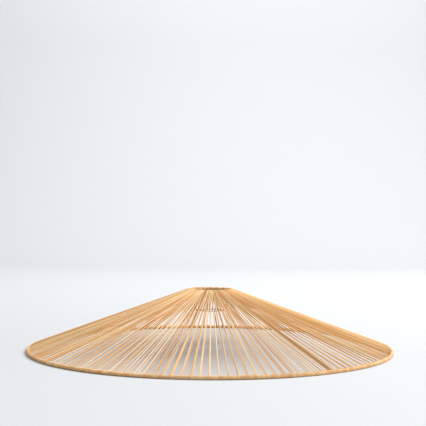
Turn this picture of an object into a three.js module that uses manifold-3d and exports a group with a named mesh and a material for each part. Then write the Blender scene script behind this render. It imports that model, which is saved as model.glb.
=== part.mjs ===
// A wide, shallow pendant lampshade: natural cord wound over a painted wire frame.
// Millimetres, +Z up. The origin is the middle of the plane that the rim rests on.
//
// The frame is two rings joined by eight straight ribs. Four bent arms hang a flat fitter ring,
// the washer that a lampholder clamps on, inside the top ring. Cord runs up the outside of the ribs,
// over the top ring and back down their inside, then winds round the rim to the next place.

import * as THREE from "three";
import { mergeVertices } from "three/addons/utils/BufferGeometryUtils.js";
import Module from "manifold-3d";

const wasm = await Module();
wasm.setup();

// Driving dimensions
const DIAMETER = 800; // over the wound rim
const HEIGHT = 134; // from the resting plane to the top of the wound top ring
const TOP_RING_RADIUS = 48; // to the middle of the wire
const RING_WIRE = 4; // diameter of the wire in both rings
const RIB_WIRE = 3; // diameter of the wire in the ribs and the arms
const WOUND = 8; // a ring with its cord winding, across the flats
const CORD = 2; // across a cord's plain three-sided stand-in
const CORD_INSET = 0.3; // a straight run stops this far short of the ring's middle, inside the winding
const LAYER = 3.2; // from the line of the ribs to the middle of either layer of cord
const RIBS = 8;
const SECTIONS = 16; // two sections of winding to each bay between ribs
const CORDS = 9; // cord places in a section
const ARMS = 4;
const FIRST_RIB = -100; // degrees from +X to the first rib
const GAP = 0.3; // between touching pieces
const RIB_GAP = 2.3; // from a rib's or an arm's middle to the end of the winding beside it
const FITTER_HOLE = 43; // diameter, for a lampholder's threaded collar
const FITTER_DIAMETER = 54;
const FITTER_THICKNESS = 1.6;
const FITTER_HEIGHT = 85.5; // middle of the washer above the resting plane

// Faceting
const WIRE_SIDES = 6;
const BORE_SIDES = 8;
const RING_STEPS = 48;
const ARM_STEPS = 14;

// Worked out from them
const RIM_RADIUS = (DIAMETER - WOUND) / 2;
const RIM_HEIGHT = WOUND / 2;
const TOP_HEIGHT = HEIGHT - WOUND / 2;
const SLOPE = Math.atan2(TOP_HEIGHT - RIM_HEIGHT, RIM_RADIUS - TOP_RING_RADIUS);
const SECTION_ANGLE = (2 * Math.PI) / SECTIONS;
const UPPER_LIP = 0.7; // top edge of the opening for the ribs, above the middle of the top ring's wire
const LOWER_LIP = 0.4 - WOUND / 2; // its bottom edge
const BORE_CORNER = (RING_WIRE / 2 + GAP) / Math.cos(Math.PI / BORE_SIDES); // winding's bore round the wire

const wireMaterial = new THREE.MeshStandardMaterial({
  color: 0x8a6a42,
  roughness: 0.45,
  metalness: 0.6,
});
const cordMaterial = new THREE.MeshStandardMaterial({
  color: 0xd9b27c,
  roughness: 0.9,
  metalness: 0,
});

const shade = new THREE.Group();
shade.rotation.z = THREE.MathUtils.degToRad(FIRST_RIB);

function addPiece(name, geometry, material, turn = 0) {
  const piece = new THREE.Mesh(geometry, material);
  piece.name = name;
  piece.rotation.z = turn;
  shade.add(piece);
}

// A closed geometry as a solid that can be joined and cut.
function toSolid(geometry) {
  const bare = geometry.clone();
  bare.deleteAttribute("normal");
  bare.deleteAttribute("uv");
  const merged = mergeVertices(bare);
  return new wasm.Manifold(
    new wasm.Mesh({
      numProp: 3,
      vertProperties: merged.attributes.position.array,
      triVerts: Uint32Array.from(merged.index.array),
    }),
  );
}

function toGeometry(solid) {
  const mesh = solid.getMesh();
  const geometry = new THREE.BufferGeometry();
  geometry.setAttribute("position", new THREE.BufferAttribute(mesh.vertProperties, 3));
  geometry.setIndex(new THREE.BufferAttribute(mesh.triVerts, 1));
  geometry.computeVertexNormals();
  return geometry;
}

// The level arc that a winding follows round one of the rings.
class RingArc extends THREE.Curve {
  constructor(radius, height, start, end) {
    super();
    this.radius = radius;
    this.height = height;
    this.start = start;
    this.end = end;
  }

  getPoint(t, target = new THREE.Vector3()) {
    const angle = THREE.MathUtils.lerp(this.start, this.end, t);
    return target.set(this.radius * Math.cos(angle), this.radius * Math.sin(angle), this.height);
  }
}

// A corner of a winding's section, from the middle of the wire: outwards and up.
// An extrusion along a level arc lays a section's x down and its y inwards.
function corner(outwards, up) {
  return new THREE.Vector2(-up, -outwards);
}

// The corners of the bore round the wire, turning upwards from just above outwards.
function boreCorners() {
  const corners = [];
  for (let i = 0; i < BORE_SIDES; i += 1) {
    const angle = ((i + 0.5) * 2 * Math.PI) / BORE_SIDES;
    corners.push(corner(BORE_CORNER * Math.cos(angle), BORE_CORNER * Math.sin(angle)));
  }
  return corners;
}

// The rim's winding closes all round the wire. Its plain square section stands for the round one.
function closedWinding() {
  const half = WOUND / 2;
  const section = new THREE.Shape([
    corner(half, half),
    corner(-half, half),
    corner(-half, -half),
    corner(half, -half),
  ]);
  section.holes.push(new THREE.Path(boreCorners().reverse()));
  return section;
}

// The top ring's winding stays open on the side where the ribs reach the ring.
function openWinding() {
  const half = WOUND / 2;
  const bore = boreCorners().slice(0, BORE_SIDES - 1).reverse();
  return new THREE.Shape([
    corner(half, UPPER_LIP),
    corner(half, half),
    corner(-half, half),
    corner(-half, -half),
    corner(half, -half),
    corner(half, LOWER_LIP),
    ...bore,
  ]);
}

// Room on both sides of a section's end, cut straight across a ring's winding.
function endCut(radius, height, angle, gap) {
  const cut = new THREE.BoxGeometry(2 * WOUND, 2 * gap, 2 * WOUND);
  cut.translate(radius, 0, height);
  cut.rotateZ(angle);
  return toSolid(cut);
}

function windingSolid(section, radius, height, startGap, endGap) {
  const arc = new RingArc(radius, height, 0, SECTION_ANGLE);
  const steps = RING_STEPS / SECTIONS;
  return toSolid(new THREE.ExtrudeGeometry(section, { steps, extrudePath: arc }))
    .subtract(endCut(radius, height, 0, startGap))
    .subtract(endCut(radius, height, SECTION_ANGLE, endGap));
}

// A point on the line of the ribs at a ring, moved out to one layer of cord.
function layerPoint(radius, height, angle, layer) {
  const outwards = radius + layer * Math.sin(SLOPE);
  return new THREE.Vector3(
    outwards * Math.cos(angle),
    outwards * Math.sin(angle),
    height + layer * Math.cos(SLOPE),
  );
}

// One straight run of cord from the rim to the top ring, with one edge facing out of the shade's wall.
function cordSolid(rimAngle, topAngle, layer) {
  const low = layerPoint(RIM_RADIUS, RIM_HEIGHT, rimAngle, layer);
  const high = layerPoint(TOP_RING_RADIUS, TOP_HEIGHT, topAngle, layer);
  const along = high.clone().sub(low).normalize();
  const across = new THREE.Vector3(-Math.sin(rimAngle), Math.cos(rimAngle), 0);
  const normal = across.clone().cross(along).normalize();
  across.crossVectors(normal, along);
  const length = low.distanceTo(high) - 2 * CORD_INSET;
  const run = new THREE.CylinderGeometry(CORD / 2, CORD / 2, length, 3);
  run.rotateZ(Math.PI / 2);
  run.rotateX(layer < 0 ? Math.PI : 0);
  const place = new THREE.Matrix4().makeBasis(along, across, normal);
  place.setPosition(low.add(high).multiplyScalar(0.5));
  run.applyMatrix4(place);
  return toSolid(run);
}

// One section of the winding: its part of the rim and of the top ring, and its runs in both layers.
// A rib or an arm at either end makes room for itself there.
function cordSection(ribAtStart, armAtRib) {
  const ribEnd = ribAtStart ? RIB_GAP : GAP / 2;
  const openEnd = ribAtStart ? GAP / 2 : RIB_GAP;
  const armGap = armAtRib ? RIB_GAP : GAP / 2;
  const topStartGap = ribAtStart ? armGap : GAP / 2;
  const topEndGap = ribAtStart ? GAP / 2 : armGap;
  const parts = [
    windingSolid(closedWinding(), RIM_RADIUS, RIM_HEIGHT, ribEnd, openEnd),
    windingSolid(openWinding(), TOP_RING_RADIUS, TOP_HEIGHT, topStartGap, topEndGap),
  ];
  const topStart = topStartGap / TOP_RING_RADIUS;
  const topSpread = SECTION_ANGLE - topStart - topEndGap / TOP_RING_RADIUS;
  for (let i = 0; i < CORDS; i += 1) {
    const share = (i + 0.5) / CORDS;
    const rimAngle = SECTION_ANGLE * share;
    const topAngle = topStart + topSpread * share;
    parts.push(cordSolid(rimAngle, topAngle, LAYER));
    parts.push(cordSolid(rimAngle, topAngle, -LAYER));
  }
  return toGeometry(wasm.Manifold.union(parts));
}

function ringGeometry(radius, height) {
  const ring = new THREE.TorusGeometry(radius, RING_WIRE / 2, WIRE_SIDES, RING_STEPS);
  ring.translate(0, 0, height);
  return ring;
}

function ribGeometry() {
  const span = Math.hypot(RIM_RADIUS - TOP_RING_RADIUS, TOP_HEIGHT - RIM_HEIGHT);
  const length = span - RING_WIRE - 2 * GAP;
  const rib = new THREE.CylinderGeometry(RIB_WIRE / 2, RIB_WIRE / 2, length, WIRE_SIDES);
  rib.rotateZ(Math.PI / 2);
  rib.rotateY(SLOPE);
  rib.translate((RIM_RADIUS + TOP_RING_RADIUS) / 2, 0, (RIM_HEIGHT + TOP_HEIGHT) / 2);
  return rib;
}

// An arm leaves the top ring inwards, turns down, and turns in again to the washer's edge.
function armGeometry() {
  const point = (radius, height) => new THREE.Vector3(radius, 0, height);
  const start = point(TOP_RING_RADIUS - RING_WIRE / 2 - GAP, TOP_HEIGHT);
  const shoulder = point(TOP_RING_RADIUS - 7, TOP_HEIGHT);
  const elbow = point(FITTER_DIAMETER / 2 + 7, FITTER_HEIGHT);
  const end = point(FITTER_DIAMETER / 2 + GAP, FITTER_HEIGHT);
  const down = elbow.clone().sub(shoulder).normalize();
  const bend = 4;
  const afterShoulder = shoulder.clone().addScaledVector(down, bend);
  const beforeElbow = elbow.clone().addScaledVector(down, -bend);
  const beforeShoulder = point(shoulder.x + bend - 1, TOP_HEIGHT);
  const afterElbow = point(elbow.x - bend, FITTER_HEIGHT);
  const path = new THREE.CurvePath();
  path.add(new THREE.LineCurve3(start, beforeShoulder));
  path.add(new THREE.QuadraticBezierCurve3(beforeShoulder, shoulder, afterShoulder));
  path.add(new THREE.LineCurve3(afterShoulder, beforeElbow));
  path.add(new THREE.QuadraticBezierCurve3(beforeElbow, elbow, afterElbow));
  path.add(new THREE.LineCurve3(afterElbow, end));
  const circle = new THREE.Shape().absarc(0, 0, RIB_WIRE / 2, 0, 2 * Math.PI);
  const section = new THREE.Shape(circle.getPoints(WIRE_SIDES).slice(0, WIRE_SIDES));
  return new THREE.ExtrudeGeometry(section, { steps: ARM_STEPS, extrudePath: path });
}

function washerGeometry() {
  const low = FITTER_HEIGHT - FITTER_THICKNESS / 2;
  const high = FITTER_HEIGHT + FITTER_THICKNESS / 2;
  const outline = [
    new THREE.Vector2(FITTER_HOLE / 2, low),
    new THREE.Vector2(FITTER_DIAMETER / 2, low),
    new THREE.Vector2(FITTER_DIAMETER / 2, high),
    new THREE.Vector2(FITTER_HOLE / 2, high),
    new THREE.Vector2(FITTER_HOLE / 2, low),
  ];
  const washer = new THREE.LatheGeometry(outline, RING_STEPS);
  washer.rotateX(Math.PI / 2);
  return washer;
}

addPiece("bottom_ring", ringGeometry(RIM_RADIUS, RIM_HEIGHT), wireMaterial);
addPiece("top_ring", ringGeometry(TOP_RING_RADIUS, TOP_HEIGHT), wireMaterial);

const rib = ribGeometry();
for (let i = 0; i < RIBS; i += 1) {
  addPiece(`rib_${i + 1}`, rib, wireMaterial, (i * 2 * Math.PI) / RIBS);
}

const arm = armGeometry();
for (let i = 0; i < ARMS; i += 1) {
  addPiece(`fitter_arm_${i + 1}`, arm, wireMaterial, (i * 2 * Math.PI) / ARMS);
}

addPiece("fitter_ring", washerGeometry(), wireMaterial);

// Sections alternate: a rib at their start, then a rib at their end. Every second rib has an arm.
const ribsPerArm = RIBS / ARMS;
const sectionKinds = [
  [cordSection(true, true), cordSection(true, false)],
  [cordSection(false, true), cordSection(false, false)],
];
for (let i = 0; i < SECTIONS; i += 1) {
  const ribIndex = Math.ceil(i / 2);
  const kinds = sectionKinds[i % 2];
  const geometry = ribIndex % ribsPerArm === 0 ? kinds[0] : kinds[1];
  addPiece(`cord_section_${i + 1}`, geometry, cordMaterial, i * SECTION_ANGLE);
}

export default shade;
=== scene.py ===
# %% [markdown]
# # A pendant lampshade wound with natural cord
#
# The real object is a wide, shallow cone. Two wire rings and eight straight ribs make its frame,
# and one kind of straw-coloured twisted cord is wound over all of it: up the outside, over the
# small top ring, down the inside, and then round and round the rim until the next place.
# The frame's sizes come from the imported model, and everything made here is laid on it.

# %% Load the frame
from math import atan2, degrees, pi, radians, sin, tau

import bmesh
import bpy
import numpy as np
from mathutils import Matrix, Vector


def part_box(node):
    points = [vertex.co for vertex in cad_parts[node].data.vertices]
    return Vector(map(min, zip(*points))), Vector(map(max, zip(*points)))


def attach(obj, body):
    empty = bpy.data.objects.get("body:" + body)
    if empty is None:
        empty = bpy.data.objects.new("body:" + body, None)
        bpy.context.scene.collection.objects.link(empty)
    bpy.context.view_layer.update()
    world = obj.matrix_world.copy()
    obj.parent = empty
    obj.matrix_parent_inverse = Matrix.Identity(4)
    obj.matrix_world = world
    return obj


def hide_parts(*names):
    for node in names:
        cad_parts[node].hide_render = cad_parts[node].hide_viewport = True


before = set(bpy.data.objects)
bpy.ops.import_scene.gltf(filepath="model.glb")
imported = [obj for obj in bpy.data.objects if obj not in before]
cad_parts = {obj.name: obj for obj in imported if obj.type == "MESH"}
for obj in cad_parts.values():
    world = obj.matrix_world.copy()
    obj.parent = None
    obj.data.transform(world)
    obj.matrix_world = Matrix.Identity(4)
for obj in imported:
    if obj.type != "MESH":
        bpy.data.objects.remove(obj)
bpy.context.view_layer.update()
MM = 0.001

# %% [markdown]
# ## Reading the frame's sizes
#
# A wire ring is known by the middle line of its wire: a radius and a height. Both can be read
# from the ring's own points, by how near to the axis and how far from it they come. The ribs'
# directions come from the ribs. The wall's slope follows from the two rings.

# %% Measure the rings and the ribs


def read(items, name, kind=float, width=1):
    """One property of every item, such as the place of every point, as an array."""
    values = np.empty(width * len(items), kind)
    items.foreach_get(name, values)
    return values.reshape(-1, width) if width > 1 else values


def points_of(node):
    return read(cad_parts[node].data.vertices, "co", width=3)


def ring_of(node):
    """Radius and height of the middle line of a ring's wire, and the wire's own radius."""
    points = points_of(node)
    away = np.hypot(points[:, 0], points[:, 1])
    height = (points[:, 2].min() + points[:, 2].max()) / 2
    return (away.max() + away.min()) / 2, height, (away.max() - away.min()) / 2


def direction_of(node):
    low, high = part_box(node)
    middle = (low + high) / 2
    return atan2(middle.y, middle.x)


RIM_RADIUS, RIM_HEIGHT, RING_WIRE = ring_of("bottom_ring")
TOP_RADIUS, TOP_HEIGHT, _ = ring_of("top_ring")
SLOPE = atan2(TOP_HEIGHT - RIM_HEIGHT, RIM_RADIUS - TOP_RADIUS)
RIBS = sum(name.startswith("rib_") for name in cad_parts)
ARMS = sum(name.startswith("fitter_arm_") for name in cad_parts)
SECTIONS = sum(name.startswith("cord_section_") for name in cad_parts)
FIRST_RIB = direction_of("rib_1")
SECTION_ANGLE = tau / SECTIONS
print(f"rim: radius {RIM_RADIUS / MM:.1f} mm, {RIM_HEIGHT / MM:.1f} mm up")
print(f"top ring: radius {TOP_RADIUS / MM:.1f} mm, {TOP_HEIGHT / MM:.1f} mm up")
print(f"slope {degrees(SLOPE):.1f} degrees, {RIBS} ribs, {ARMS} arms, {SECTIONS} cord sections")

# %% [markdown]
# ## The camera
#
# The shade lies on a table and is looked at from the front, a little above the height of its top.
# A long lens keeps the ellipse of the rim shallow. The camera comes first, so that each piece can
# be looked at as soon as it is made.

# %% Place the camera
CAMERA_PLACE = (0.005, -1.92, 0.268)
CAMERA_TILT = radians(91.0)  # one degree above level
CAMERA_ROLL = radians(-0.3)

camera = bpy.data.objects.new("camera", bpy.data.cameras.new("camera"))
camera.data.lens = 72.8
camera.data.sensor_width = 36.0
camera.location = CAMERA_PLACE
camera.rotation_euler = (CAMERA_TILT, CAMERA_ROLL, 0)
bpy.context.scene.collection.objects.link(camera)
bpy.context.scene.camera = camera
print("camera height, mm:", round(camera.location.z / MM))

# %% [markdown]
# ## Helpers for the pieces
#
# Each new piece is a mesh whose place is in its points. It rides on the one body and stands for the
# imported nodes that it refines. A small class lets the materials
# be written as sums: arithmetic on a socket adds the Math nodes for it.

# %% Turn a bmesh into a mesh, and a mesh into a piece


def finish_piece(name, mesh, material, slot, *nodes):
    """Put a finished mesh in the scene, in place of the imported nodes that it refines."""
    mesh.materials.clear()
    mesh.materials.append(material)
    mesh.shade_smooth()
    piece = bpy.data.objects.new(name, mesh)
    bpy.context.scene.collection.objects.link(piece)
    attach(piece, "root")
    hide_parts(*nodes)
    return piece


def mesh_from(name, bm, merge=0.01 * MM):
    """Close the seams of a bmesh, turn its faces outwards and free it into a mesh."""
    bmesh.ops.remove_doubles(bm, verts=bm.verts[:], dist=merge)
    bmesh.ops.recalc_face_normals(bm, faces=bm.faces[:])
    mesh = bpy.data.meshes.new(name)
    bm.to_mesh(mesh)
    bm.free()
    return mesh


# %% A class for shader sums


class Signal:
    """A socket of a finish. Arithmetic on it adds Math nodes."""

    def __init__(self, finish, socket):
        self.finish = finish
        self.socket = socket

    def math(self, operation, first, second):
        return self.finish.node("ShaderNodeMath", {"operation": operation}, {0: first, 1: second})

    def __add__(self, other):
        return self.math("ADD", self, other)

    def __sub__(self, other):
        return self.math("SUBTRACT", self, other)

    def __rsub__(self, other):
        return self.math("SUBTRACT", other, self)

    def __mul__(self, other):
        return self.math("MULTIPLY", self, other)

    __radd__ = __add__
    __rmul__ = __mul__


class Finish:
    """A material, with one method that adds any node to it."""

    def __init__(self, name):
        self.material = bpy.data.materials.new(name)
        self.material.use_nodes = True
        self.tree = self.material.node_tree
        self.surface = self.tree.nodes["Principled BSDF"]

    def feed(self, socket, value):
        if isinstance(value, Signal):
            self.tree.links.new(value.socket, socket)
        else:
            socket.default_value = value

    def node(self, kind, settings, inputs, output=0):
        node = self.tree.nodes.new(kind)
        for name, value in settings.items():
            setattr(node, name, value)
        for name, value in inputs.items():
            self.feed(node.inputs[name], value)
        return Signal(self, node.outputs[output])

    def set(self, **sockets):
        for name, value in sockets.items():
            self.feed(self.surface.inputs[name.replace("_", " ")], value)

    def mix(self, factor, first, second):
        """Between two colours."""
        settings = {"data_type": "RGBA"}
        return self.node("ShaderNodeMix", settings, {0: factor, 6: first, 7: second}, output=2)

    def fade(self, value, low, high, start=0.0, end=1.0):
        """A smooth step: start where value is low, end where it is high."""
        settings = {"interpolation_type": "SMOOTHSTEP"}
        inputs = {0: value, 1: low, 2: high, 3: start, 4: end}
        return self.node("ShaderNodeMapRange", settings, inputs)

    def noise(self, vector, scale, detail=2.0):
        return self.node(
            "ShaderNodeTexNoise", {}, {"Vector": vector, "Scale": scale, "Detail": detail}
        )

    def bump(self, height, strength, distance):
        inputs = {"Strength": strength, "Distance": distance, "Height": height}
        return self.node("ShaderNodeBump", {}, inputs)


print("helpers ready")

# %% [markdown]
# ## The stage
#
# A sheet of pale seamless paper lies under the shade and curves up a few metres behind it, so that
# no edge shows. It starts as one edge: extruding makes the floor, a quarter of a spin the
# curve, and a second extrusion the wall.

# %% Make the seamless sheet
SHEET_HALF_WIDTH = 30.0
SHEET_FRONT = -30.0
SHEET_BACK = 4.0
SHEET_CURVE = 2.0  # radius
SHEET_TOP = 12.0
PAPER = (0.622, 0.640, 0.658, 1)

bm = bmesh.new()
ends = [bm.verts.new((x, SHEET_FRONT, 0)) for x in (-SHEET_HALF_WIDTH, SHEET_HALF_WIDTH)]
edge = bm.edges.new(ends)


def extrude_edge(edges, move):
    made = bmesh.ops.extrude_edge_only(bm, edges=edges)["geom"]
    verts = [g for g in made if isinstance(g, bmesh.types.BMVert)]
    bmesh.ops.translate(bm, verts=verts, vec=move)
    return [g for g in made if isinstance(g, bmesh.types.BMEdge)]


edges = extrude_edge([edge], (0, SHEET_BACK - SHEET_FRONT, 0))
curve_middle = (0, SHEET_BACK, SHEET_CURVE)
spun = bmesh.ops.spin(
    bm, geom=edges, cent=curve_middle, axis=(1, 0, 0), angle=pi / 2, steps=24, use_duplicate=False
)
edges = [g for g in spun["geom_last"] if isinstance(g, bmesh.types.BMEdge)]
extrude_edge(edges, (0, 0, SHEET_TOP - SHEET_CURVE))
sheet_mesh = mesh_from("seamless_sheet", bm)
sheet_mesh.shade_smooth()

paper = Finish("pale_paper")
paper.set(Base_Color=PAPER, Roughness=0.9)
paper.surface.inputs["Specular IOR Level"].default_value = 0.1
sheet_mesh.materials.append(paper.material)
sheet = bpy.data.objects.new("seamless_sheet", sheet_mesh)
bpy.context.scene.collection.objects.link(sheet)
print("sheet faces:", len(sheet_mesh.polygons))

# %% [markdown]
# ## The light
#
# The studio is bright all round, and the world stands for its white room. The strongest soft
# light is high on the right, so the right wall is paler than the left and each cord has a pale
# side. A weaker one in front keeps the near cords bright, and one overhead shines through the
# gaps on the floor inside. The last lights only the sheet behind.

# %% Make the room and the soft lights
ROOM_COLOUR = (1.0, 0.985, 0.965, 1)
ROOM_STRENGTH = 0.45
MIDDLE = (0, 0, 0)
ON_WALL = (0, SHEET_BACK + SHEET_CURVE, 4.0)
LIGHTS = (  # name, place, target, size in metres, watts, colour
    ("overhead", (0.3, 0.4, 3.4), MIDDLE, 3.4, 35, (1.0, 0.995, 0.99)),
    ("front_right", (3.0, -2.0, 2.5), MIDDLE, 3.0, 78, (1.0, 0.99, 0.98)),
    ("high_right", (4.3, 0.6, 4.2), MIDDLE, 3.8, 298, (0.985, 0.99, 1.0)),
    ("on_the_sheet", (0, 2.0, 5.5), ON_WALL, 4.0, 222, (1.0, 0.98, 0.955)),
)

world = bpy.data.worlds.new("white_room")
world.use_nodes = True
background = world.node_tree.nodes["Background"]
background.inputs["Color"].default_value = ROOM_COLOUR
background.inputs["Strength"].default_value = ROOM_STRENGTH
bpy.context.scene.world = world
bpy.context.scene.view_settings.view_transform = "Standard"


def soft_light(name, place, target, size, watts, colour):
    light = bpy.data.lights.new(name, "AREA")
    light.shape = "SQUARE"
    light.size = size
    light.energy = watts
    light.color = colour
    lamp = bpy.data.objects.new(name, light)
    lamp.location = place
    aim = Vector(target) - Vector(place)
    lamp.rotation_mode = "QUATERNION"
    lamp.rotation_quaternion = aim.to_track_quat("-Z", "Y")
    bpy.context.scene.collection.objects.link(lamp)


for light in LIGHTS:
    soft_light(*light)

# %% [markdown]
# ## The painted wire
#
# The frame is steel wire in satin paint. The rings and ribs, which the cord covers, are an ochre
# near the cord's own colour, so no dark line shows between the cords. The arms and the washer
# are bronze brown. Paint pools a little, so tone and gloss drift from place to place.

# %% Make the two paints
BRONZE = ((0.20, 0.125, 0.065, 1), (0.42, 0.28, 0.15, 1))  # dark and pale
OCHRE = ((0.58, 0.34, 0.13, 1), (0.78, 0.50, 0.23, 1))
GRAIN_SCALE = 900.0
GRAIN_DEPTH = 0.2 * MM


def wire_paint(name, colours, roughness, metallic, drift_scale):
    """A satin paint that drifts between two colours and two roughnesses, with a fine grain."""
    finish = Finish(name)
    place = finish.node("ShaderNodeTexCoord", {}, {}, output="Object")
    drift = finish.noise(place, drift_scale, 3.0)
    grain = finish.noise(place, GRAIN_SCALE, 1.0)
    finish.set(
        Base_Color=finish.mix(drift, *colours),
        Roughness=finish.fade(drift, 0.3, 0.7, *roughness),
        Metallic=metallic,
        Normal=finish.bump(grain, 0.15, GRAIN_DEPTH),
    )
    return finish


paint = wire_paint("painted_wire", BRONZE, (0.34, 0.5), 0.55, 55.0)
ochre = wire_paint("ochre_painted_wire", OCHRE, (0.42, 0.58), 0.25, 60.0)
print("paint nodes:", len(paint.tree.nodes), "and", len(ochre.tree.nodes))

# %% [markdown]
# ## The two rings
#
# A wire ring is a small circle carried once round the axis. A full spin with its ends merged
# closes it without a seam.

# %% Spin the rings


def wire_ring(name, radius, height, wire, sides, steps):
    """A closed ring of round wire about the axis."""
    bm = bmesh.new()
    place = Matrix.Translation((radius, 0, height)) @ Matrix.Rotation(pi / 2, 4, "X")
    bmesh.ops.create_circle(bm, segments=sides, radius=wire, matrix=place)
    bmesh.ops.spin(
        bm,
        geom=bm.verts[:] + bm.edges[:],
        cent=(0, 0, 0),
        axis=(0, 0, 1),
        angle=tau,
        steps=steps,
        use_merge=True,
    )
    return mesh_from(name, bm)


rim_mesh = wire_ring("rim_wire", RIM_RADIUS, RIM_HEIGHT, RING_WIRE, 12, 288)
finish_piece("rim_wire", rim_mesh, ochre.material, "frame", "bottom_ring")
top_mesh = wire_ring("top_wire", TOP_RADIUS, TOP_HEIGHT, RING_WIRE, 16, 96)
finish_piece("top_wire", top_mesh, ochre.material, "frame", "top_ring")
print("rim faces:", len(rim_mesh.polygons), "top ring faces:", len(top_mesh.polygons))

# %% [markdown]
# ## The ribs
#
# Each rib is a straight wire welded to both rings. Its outline, thicker where the weld has run
# against the ring, is turned on the wire's own axis as on a lathe, and then laid on the slope.

# %% Turn a rib and lay it eight times
RIB_WIRE = 1.5 * MM  # radius
RIB_SIDES = 14
WELD = [(0.0, 2.3), (1.6, 2.2), (2.4, 1.95), (3.4, 1.62), (5.0, 1.5)]  # along the rib, radius


def turned(outline, steps):
    """A solid of revolution about X: each corner of the outline is (x, radius)."""
    bm = bmesh.new()
    corners = [bm.verts.new((x, 0, radius)) for x, radius in outline]
    for first, second in zip(corners, corners[1:]):
        bm.edges.new((first, second))
    bmesh.ops.spin(
        bm,
        geom=bm.verts[:] + bm.edges[:],
        cent=(0, 0, 0),
        axis=(1, 0, 0),
        angle=tau,
        steps=steps,
        use_merge=True,
    )
    return bm


rib_length = (TOP_HEIGHT - RIM_HEIGHT) / sin(SLOPE)
near = [(x * MM, radius * MM) for x, radius in WELD]
far = [(rib_length - x, radius) for x, radius in reversed(near)]
outline = [(0, 0)] + near + far + [(rib_length, 0)]
for i in range(RIBS):
    bm = turned(outline, RIB_SIDES)
    lay = (
        Matrix.Rotation(FIRST_RIB + i * tau / RIBS, 4, "Z")
        @ Matrix.Translation((RIM_RADIUS, 0, RIM_HEIGHT))
        @ Matrix.Rotation(pi + SLOPE, 4, "Y")
    )
    bmesh.ops.transform(bm, matrix=lay, verts=bm.verts[:])
    name = f"rib_wire_{i + 1}"
    finish_piece(name, mesh_from(name, bm), ochre.material, "frame", f"rib_{i + 1}")
print(f"{RIBS} ribs of {rib_length / MM:.1f} mm")

# %% [markdown]
# ## The fitter
#
# Four bent arms carry a flat washer below the top ring. A lampholder's collar goes through the
# washer's hole. An arm is a curve with a round bevel, a little thicker at its welded ends. The
# washer is a small rectangle spun round the axis, with its four edges bevelled.

# %% Bend the arms
fitter_low, fitter_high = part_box("fitter_ring")
FITTER_HEIGHT = (fitter_low.z + fitter_high.z) / 2
FITTER_RADIUS = (fitter_high.x - fitter_low.x) / 2
SHOULDER = TOP_RADIUS - 7 * MM
ELBOW = FITTER_RADIUS + 7 * MM
BEND = 4 * MM
ARM_SIDES = 12
ARM_WELD = ((1.2 * MM, 1.8 * MM), (-0.8 * MM, 1.7 * MM))  # out from the washer's edge, radius


def bend_points(corner, before, after, steps=6):
    """Points round a bend whose straight sides would meet in the corner."""
    shares = [i / steps for i in range(steps + 1)]
    return [
        before * (1 - t) ** 2 + corner * (2 * t * (1 - t)) + after * t**2 for t in shares
    ]


def tube_mesh(name, points, radii, sides):
    """A closed round tube along the points, from a curve's own bevel."""
    curve = bpy.data.curves.new(name, "CURVE")
    curve.dimensions = "3D"
    curve.bevel_depth = 1.0
    curve.bevel_resolution = sides // 2 - 2
    curve.use_fill_caps = True
    spline = curve.splines.new("POLY")
    spline.points.add(len(points) - 1)
    spline.points.foreach_set("co", np.c_[points, np.ones(len(points))].ravel())
    spline.points.foreach_set("radius", np.asarray(radii, float))
    carrier = bpy.data.objects.new(name, curve)
    bpy.context.scene.collection.objects.link(carrier)
    evaluated = carrier.evaluated_get(bpy.context.evaluated_depsgraph_get())
    mesh = bpy.data.meshes.new_from_object(evaluated)
    bpy.data.objects.remove(carrier)
    bpy.data.curves.remove(curve)
    return mesh


start = Vector((TOP_RADIUS, 0, TOP_HEIGHT))
shoulder = Vector((SHOULDER, 0, TOP_HEIGHT))
elbow = Vector((ELBOW, 0, FITTER_HEIGHT))
down = (elbow - shoulder).normalized()
arm_line = [start]
arm_line += bend_points(shoulder, shoulder + Vector((BEND - MM, 0, 0)), shoulder + down * BEND)
arm_line += bend_points(elbow, elbow - down * BEND, elbow - Vector((BEND, 0, 0)))
arm_radii = [RIB_WIRE] * len(arm_line) + [radius for _, radius in ARM_WELD]
arm_line += [Vector((FITTER_RADIUS + out, 0, FITTER_HEIGHT)) for out, _ in ARM_WELD]
for i in range(ARMS):
    turn = Matrix.Rotation(FIRST_RIB + i * tau / ARMS, 3, "Z")
    name = f"arm_wire_{i + 1}"
    bm = bmesh.new()
    bm.from_mesh(tube_mesh(name, [turn @ p for p in arm_line], arm_radii, ARM_SIDES))
    finish_piece(name, mesh_from(name, bm), paint.material, "frame", f"fitter_arm_{i + 1}")
print(f"{ARMS} arms, from {TOP_HEIGHT / MM:.0f} to {FITTER_HEIGHT / MM:.0f} mm high")

# %% Spin the washer
WASHER_BEVEL = 0.18  # of its thickness
HOLE_RADIUS = np.hypot(*points_of("fitter_ring")[:, :2].T).min()
thickness = fitter_high.z - fitter_low.z
bm = bmesh.new()
corners = [
    bm.verts.new((radius, 0, height))
    for radius, height in (
        (HOLE_RADIUS, fitter_low.z),
        (FITTER_RADIUS, fitter_low.z),
        (FITTER_RADIUS, fitter_high.z),
        (HOLE_RADIUS, fitter_high.z),
    )
]
for first, second in zip(corners, corners[1:] + corners[:1]):
    bm.edges.new((first, second))
bmesh.ops.spin(
    bm,
    geom=bm.verts[:] + bm.edges[:],
    cent=(0, 0, 0),
    axis=(0, 0, 1),
    angle=tau,
    steps=96,
    use_merge=True,
)
bmesh.ops.recalc_face_normals(bm, faces=bm.faces[:])
rims = [edge for edge in bm.edges if edge.calc_face_angle(0) > 1]
bmesh.ops.bevel(
    bm,
    geom=rims,
    offset=WASHER_BEVEL * thickness,
    offset_type="OFFSET",
    affect="EDGES",
    segments=2,
    profile=0.5,
    material=-1,
)
washer_mesh = mesh_from("fitter_washer", bm)
finish_piece("fitter_washer", washer_mesh, paint.material, "frame", "fitter_ring")
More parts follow.
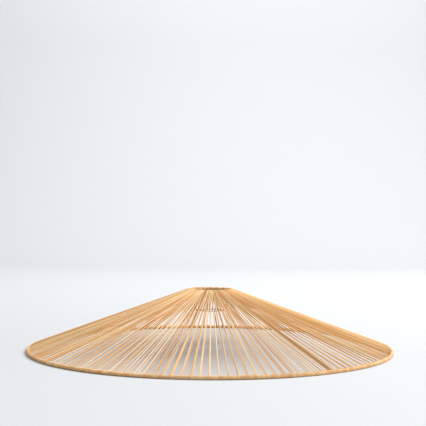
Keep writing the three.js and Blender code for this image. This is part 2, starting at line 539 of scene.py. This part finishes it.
print(f"washer hole {2 * HOLE_RADIUS / MM:.1f} mm, {len(washer_mesh.polygons)} faces")

# %% [markdown]
# ## The cord's finish
#
# The cord is two plies of straw-coloured fibre twisted together. Every piece of cord has its own
# coordinates: its length along it and its place round it, in metres and in turns. Taking the
# twist away from the place round it gives a coordinate that follows one ply, so the streaks of
# fibre, and the shade painted into the valleys between the plies, wind round the cord as real ones
# do.

# %% Make the cord's colours
TWIST = 12 * MM  # length in which the plies go once round each other
STRAW = (0.98, 0.61, 0.255, 1)
PALE = (1.0, 0.82, 0.53, 1)
TAN = (0.75, 0.37, 0.10, 1)
# The last colour is painted shade for the valleys between the plies.
VALLEY_SHADE = (0.42, 0.20, 0.065, 1)
FIBRE_STREAKS = 160  # how fast the streaks change along the cord, against round it
FIBRE_SCALE = 3.4
TONE_SCALE = 9.0  # slow changes of tone along the cord
TONE_SPREAD = 0.9  # how far the runs' own tones lie apart
STRAW_SHARE = 0.25
RELIEF = 0.3 * MM

straw = Finish("twisted_straw_cord")
along_round = straw.node("ShaderNodeUVMap", {"uv_map": "cord"}, {})
parts = straw.node("ShaderNodeSeparateXYZ", {}, {"Vector": along_round})
along = parts
around = Signal(straw, parts.socket.node.outputs["Y"])
ply = (around - along * (1 / TWIST)) * tau


def wave(angle, operation):
    return straw.node("ShaderNodeMath", {"operation": operation}, {0: angle})


ply_side = wave(ply, "COSINE")
ply_face = wave(ply, "SINE")
crest = wave(ply * 2, "COSINE") * 0.5 + 0.5
fibre_place = straw.node(
    "ShaderNodeCombineXYZ", {}, {"X": ply_side, "Y": ply_face, "Z": along * FIBRE_STREAKS}
)
fibres = straw.noise(fibre_place, FIBRE_SCALE, 3.0)
tone = straw.node("ShaderNodeAttribute", {"attribute_name": "tone"}, {}, output="Fac")
slow_place = straw.node("ShaderNodeCombineXYZ", {}, {"X": along, "Y": tone})
slow = straw.noise(slow_place, TONE_SCALE, 3.0)
base = straw.mix(straw.fade(slow + (tone - 0.5) * TONE_SPREAD, 0.2, 0.8), TAN, PALE)
base = straw.mix(STRAW_SHARE, base, STRAW)
base = straw.mix(straw.fade(fibres, 0.42, 0.72, 0.0, 0.5), base, TAN)
# Painted shade: the valleys between the plies, where the crest wave is low, are darkened.
base = straw.mix(straw.fade(crest, 0.0, 0.42, 0.75, 0.0), base, VALLEY_SHADE)
straw.set(
    Base_Color=base,
    Roughness=straw.fade(fibres, 0.3, 0.7, 0.5, 0.75),
    Normal=straw.bump(fibres * 0.5 + crest * 0.5, 0.5, RELIEF),
    Sheen_Weight=0.08,
    Sheen_Roughness=0.5,
)
print("cord nodes:", len(straw.tree.nodes))

# %% [markdown]
# ## The winding
#
# One section of the winding is one long cord. In the plane through the axis it goes round each
# wire at a fixed distance, and between the wires it runs straight, so its whole route is known
# from two angles: where it is round the axis, and where it is round the wire. The wall's
# slope gives the angles at which the straight runs leave the wires. A loop works out the route,
# and the curve's bevel gives it thickness.

# %% Measures of the winding
PLACES = 9  # runs up and down in one section
CORD_RADIUS = 0.92 * MM  # mean, where the cord is pressed on a wire
FREE_SWELL = 0.14  # how much thicker it is where it hangs free
SWELL_LENGTH = 15 * MM
PLY_RELIEF = 0.08 * MM
UNEVEN = 0.02 * MM  # how much thinner it is in places
UNEVEN_STEP = 30 * MM  # how soon its thickness changes
ROUND_WIRE = RING_WIRE + 1.0 * MM  # from a wire's middle to the cord's
WRAP = 1.92 * MM  # from one turn on the rim to the next
LUMP = (0.3 * MM, 0.9 * MM)  # how high the turns stand where a new length was joined in
TOP_SIDE = pi / 2 - SLOPE  # where a run leaves a wire, outside the wall
UNDER_SIDE = TOP_SIDE - pi  # and inside it
RIB_SIDE_GAP = 2.3 * MM  # along the rim, from a rib's middle to the turn beside it
ARM_ANGLE = radians(2.9)  # round the top ring, from an arm to the loop beside it
RIM_STRAY = radians(0.14)  # how far a run's place strays
WRAP_TONE = 0.3  # how much of the runs' difference in tone the turns on the rim show
BOW = 0.35 * MM
CORD_SIDES = 6
POINT_STEP = 1.5 * MM  # between points along a straight run
CORD_MERGE = 0.001 * MM
CLOSEST = 0.2 * MM  # points nearer to each other than this are one
WRAP_STEPS = 12  # points to a turn round a wire


def round_wire(radius, height, side, turns, from_angle, to_angle, lift=0.0):
    """Points round a wire, from one angle about the axis to another, lifted off its upper side."""
    share = np.linspace(0, 1, round(turns * WRAP_STEPS) + 1)
    sides = side + share * turns * tau
    away = ROUND_WIRE + lift * np.sin(pi * share) * np.sin(sides).clip(0, 1)
    reach = radius + away * np.cos(sides)
    angle = from_angle + (to_angle - from_angle) * share
    return np.c_[reach * np.cos(angle), reach * np.sin(angle), height + away * np.sin(sides)]


def straight_run(low, high, bow, sag):
    """Points between two wires, with a slight bow sideways and a slight sag."""
    span = high - low
    length = np.linalg.norm(span)
    share = np.linspace(0, 1, round(length / POINT_STEP) + 1)[1:-1]
    sideways = np.cross(span, (0, 0, 1))
    bend = bow * sideways / np.linalg.norm(sideways) - sag * np.array((0, 0, 1))
    points = low + span * share[:, None] + bend * np.sin(pi * share)[:, None]
    from_end = (np.minimum(share, 1 - share) * length / SWELL_LENGTH).clip(0, 1)
    return points, CORD_RADIUS * (1 + FREE_SWELL * from_end)


print(f"wraps between runs: {RIM_RADIUS * SECTION_ANGLE / PLACES / WRAP:.1f}")

# %% Work out the route of one section's cord
WRAP_ANGLE = WRAP / RIM_RADIUS
RIB_SIDE_ANGLE = RIB_SIDE_GAP / RIM_RADIUS


def places_of(index, dice):
    """The angles of a section's runs at the rim and at the top ring, from the section's start."""
    rib_at_start = index % 2 == 0
    arm_here = (index + 1) // 2 % (RIBS // ARMS) == 0
    first = ARM_ANGLE if arm_here and rib_at_start else 0
    end = SECTION_ANGLE - ARM_ANGLE if arm_here and not rib_at_start else SECTION_ANGLE
    steps = PLACES - 1 if end < SECTION_ANGLE else PLACES
    order = np.arange(PLACES)
    stray = dice.normal(0, RIM_STRAY, PLACES).clip(-2 * RIM_STRAY, 2 * RIM_STRAY)
    stray[0] = 0
    rim_angles = order * SECTION_ANGLE / PLACES + stray
    pitch = (end - first) / steps
    return rim_angles, first + order * pitch, pitch


def section_route(index, dice):
    """A section's cord: its points, and its radius and tone at each."""
    start = FIRST_RIB + index * SECTION_ANGLE
    rib_at_start = index % 2 == 0
    rim_angles, top_angles, top_pitch = places_of(index, dice)
    lumpy = dice.integers(1, PLACES - 1)
    tones = dice.uniform(0, 1, 2 * PLACES + 2)
    calm = 0.5 + WRAP_TONE * (tones - 0.5)
    parts = []

    def add(points, radii, tone):
        count = len(points)
        parts.append(np.c_[points, np.broadcast_to(radii, count), np.broadcast_to(tone, count)])

    def wrap(side, turns, from_angle, to_angle, run, lift=0.0):
        ends = (start + from_angle, start + to_angle)
        points = round_wire(RIM_RADIUS, RIM_HEIGHT, side, turns, *ends, lift)
        add(points, CORD_RADIUS, np.linspace(calm[run], calm[run + 1], len(points)))

    before = RIB_SIDE_ANGLE if rib_at_start else WRAP_ANGLE / 2
    wrap(UNDER_SIDE, 0.5, -before, 0, 0)
    for place in range(PLACES):
        on_rib = rib_at_start and place == 0
        back_angle = rim_angles[place] + (0 if on_rib else WRAP_ANGLE / 2)
        shift = 0 if place == PLACES - 1 else top_pitch * dice.uniform(0.15, 0.5)
        top = (start + top_angles[place], start + top_angles[place] + shift)
        over = round_wire(TOP_RADIUS, TOP_HEIGHT, TOP_SIDE, 0.5, *top)
        foot = (start + back_angle, start + back_angle)
        arrival = round_wire(RIM_RADIUS, RIM_HEIGHT, UNDER_SIDE, 0, *foot)[0]
        bows = np.zeros(4) if on_rib else dice.normal(0, BOW, 4)
        add(*straight_run(parts[-1][-1, :3], over[0], bows[0], abs(bows[1])), tones[2 * place])
        add(over, CORD_RADIUS, tones[2 * place])
        add(*straight_run(over[-1], arrival, bows[2], abs(bows[3])), tones[2 * place + 1])
        if on_rib:
            wrap(UNDER_SIDE, 0.5, 0, RIB_SIDE_ANGLE, 1)
            turns = round((rim_angles[1] - RIB_SIDE_ANGLE) / WRAP_ANGLE)
            wrap(TOP_SIDE, turns, RIB_SIDE_ANGLE, rim_angles[1], 1)
        elif place < PLACES - 1:
            turns = round((rim_angles[place + 1] - back_angle) / WRAP_ANGLE - 0.5) + 0.5
            lift = dice.uniform(*LUMP) if place == lumpy else 0.0
            wrap(UNDER_SIDE, turns, back_angle, rim_angles[place + 1], 2 * place + 1, lift)
    end = SECTION_ANGLE - (WRAP_ANGLE / 2 if rib_at_start else RIB_SIDE_ANGLE)
    lift = LUMP[1] if rib_at_start else 0.0
    wrap(UNDER_SIDE, round((end - back_angle) / WRAP_ANGLE), back_angle, end, 2 * PLACES, lift)
    route = np.concatenate(parts)
    apart = np.linalg.norm(np.diff(route[:, :3], axis=0), axis=1)
    route = route[np.r_[True, apart > CLOSEST]]
    return route[:, :3], route[:, 3], route[:, 4]


def length_along(points):
    return np.r_[0, np.linalg.norm(np.diff(points, axis=0), axis=1).cumsum()]


dice = np.random.default_rng(11)
routes = [section_route(i, dice) for i in range(SECTIONS)]
lengths = [length_along(points)[-1] for points, _, _ in routes]
print(f"cord in a section: {min(lengths):.2f} to {max(lengths):.2f} m")
print(f"cord in all: {sum(lengths):.1f} m")

# %% [markdown]
# ## From a route to a cord
#
# The curve's bevel lays one ring of points round each point of the route, and two loose discs for
# the ends. Moving the points of each ring out and in, a little further along at each ring, gives
# the two plies' relief without any new faces. The same ring and corner numbers give the cord its
# own coordinates, and last the end discs are merged on.

# %% Make the cords


def cord_mesh(name, points, radii, tones, dice, offset):
    """The mesh of one cord, with its own coordinates and its tone."""
    count = len(points)
    mesh = tube_mesh(name, points, radii, CORD_SIDES)
    ends = len(mesh.vertices) - count * CORD_SIDES
    along = length_along(points)
    verts = read(mesh.vertices, "co", width=3)
    rings = verts[ends:].reshape(count, CORD_SIDES, 3)
    turn = np.arange(CORD_SIDES) / CORD_SIDES
    relief = np.cos(2 * tau * (turn - along[:, None] / TWIST)) * PLY_RELIEF
    knots = np.arange(0, along[-1] + UNEVEN_STEP, UNEVEN_STEP)
    thinner = dice.normal(0, UNEVEN, len(knots)).clip(-2 * UNEVEN, 0)
    relief += np.interp(along, knots, thinner)[:, None]
    scale = 1 + relief / radii[:, None]
    rings[:] = points[:, None] + (rings - points[:, None]) * scale[..., None]
    verts[:CORD_SIDES] = rings[-1]
    verts[CORD_SIDES:ends] = rings[0]
    mesh.vertices.foreach_set("co", verts.ravel())

    corner = read(mesh.loops, "vertex_index", int)
    sizes = read(mesh.polygons, "loop_total", int)
    face = np.repeat(np.arange(len(sizes)), sizes)
    ring = np.clip((corner - ends) // CORD_SIDES, 0, count - 1)
    side = (corner - ends) % CORD_SIDES
    seam = np.zeros(len(sizes), bool)
    seam[face[side == CORD_SIDES - 1]] = True
    side = np.where(seam[face] & (side == 0), CORD_SIDES, side)
    layer = mesh.uv_layers.new(name="cord")
    coordinates = np.c_[along[ring] + offset, side / CORD_SIDES]
    layer.data.foreach_set("uv", coordinates.astype(np.float32).ravel())
    tone = mesh.attributes.new("tone", "FLOAT", "POINT")
    values = np.r_[np.full(ends, tones[0]), np.repeat(tones, CORD_SIDES)]
    tone.data.foreach_set("value", values.astype(np.float32))

    bm = bmesh.new()
    bm.from_mesh(mesh)
    bpy.data.meshes.remove(mesh)
    return mesh_from(name, bm, CORD_MERGE)


offset = 0.0
for i, (points, radii, tones) in enumerate(routes):
    name = f"cord_{i + 1}"
    mesh = cord_mesh(name, points, radii, tones, dice, offset)
    finish_piece(name, mesh, straw.material, "cord", f"cord_section_{i + 1}")
    offset += lengths[i] + 1.0
mesh.calc_loop_triangles()
print(f"{SECTIONS} cords, {len(mesh.loop_triangles)} triangles in the last")
